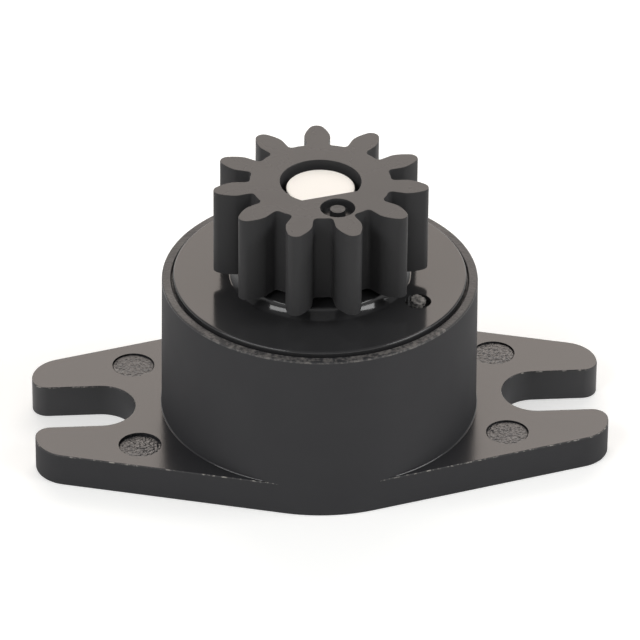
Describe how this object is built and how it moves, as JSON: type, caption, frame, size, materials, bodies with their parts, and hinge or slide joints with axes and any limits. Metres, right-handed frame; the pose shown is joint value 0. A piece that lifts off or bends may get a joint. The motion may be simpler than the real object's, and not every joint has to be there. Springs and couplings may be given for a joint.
{
  "type": "gear damper",
  "caption": "Rotary damper with a round barrel on a forked two-slot flange and a toothed pinion on its shaft, which slows a meshing gear or rack.",
  "frame": {"origin": "on the rotor's axis, in the plane of the flange's mounting face", "axes": "+Z along the shaft towards the pinion, +X along the flange towards one ear"},
  "size_m": [0.028, 0.0154, 0.0141],
  "materials": {
    "housing_black": "moulded black polycarbonate, satin to glossy",
    "cap_black": "moulded black polycarbonate, glossy",
    "rotor_white": "moulded natural white acetal, satin",
    "gear_black": "moulded black acetal, semi-gloss",
    "seal_rubber": "silicone rubber, matt",
    "silicone_grease": "translucent silicone grease, wet"
  },
  "bodies": {
    "housing": {"housing": "housing_black", "cap": "cap_black", "seal_ring": "seal_rubber", "damping_grease": "silicone_grease"},
    "rotor": {"rotor": "rotor_white", "gear": "gear_black"}
  },
  "joints": [
    {"name": "rotor_spin", "type": "hinge", "parent": "housing", "child": "rotor", "pos_m": [0, 0, 0.01192], "axis": [0, 0, 1], "continuous": true}
  ]
}
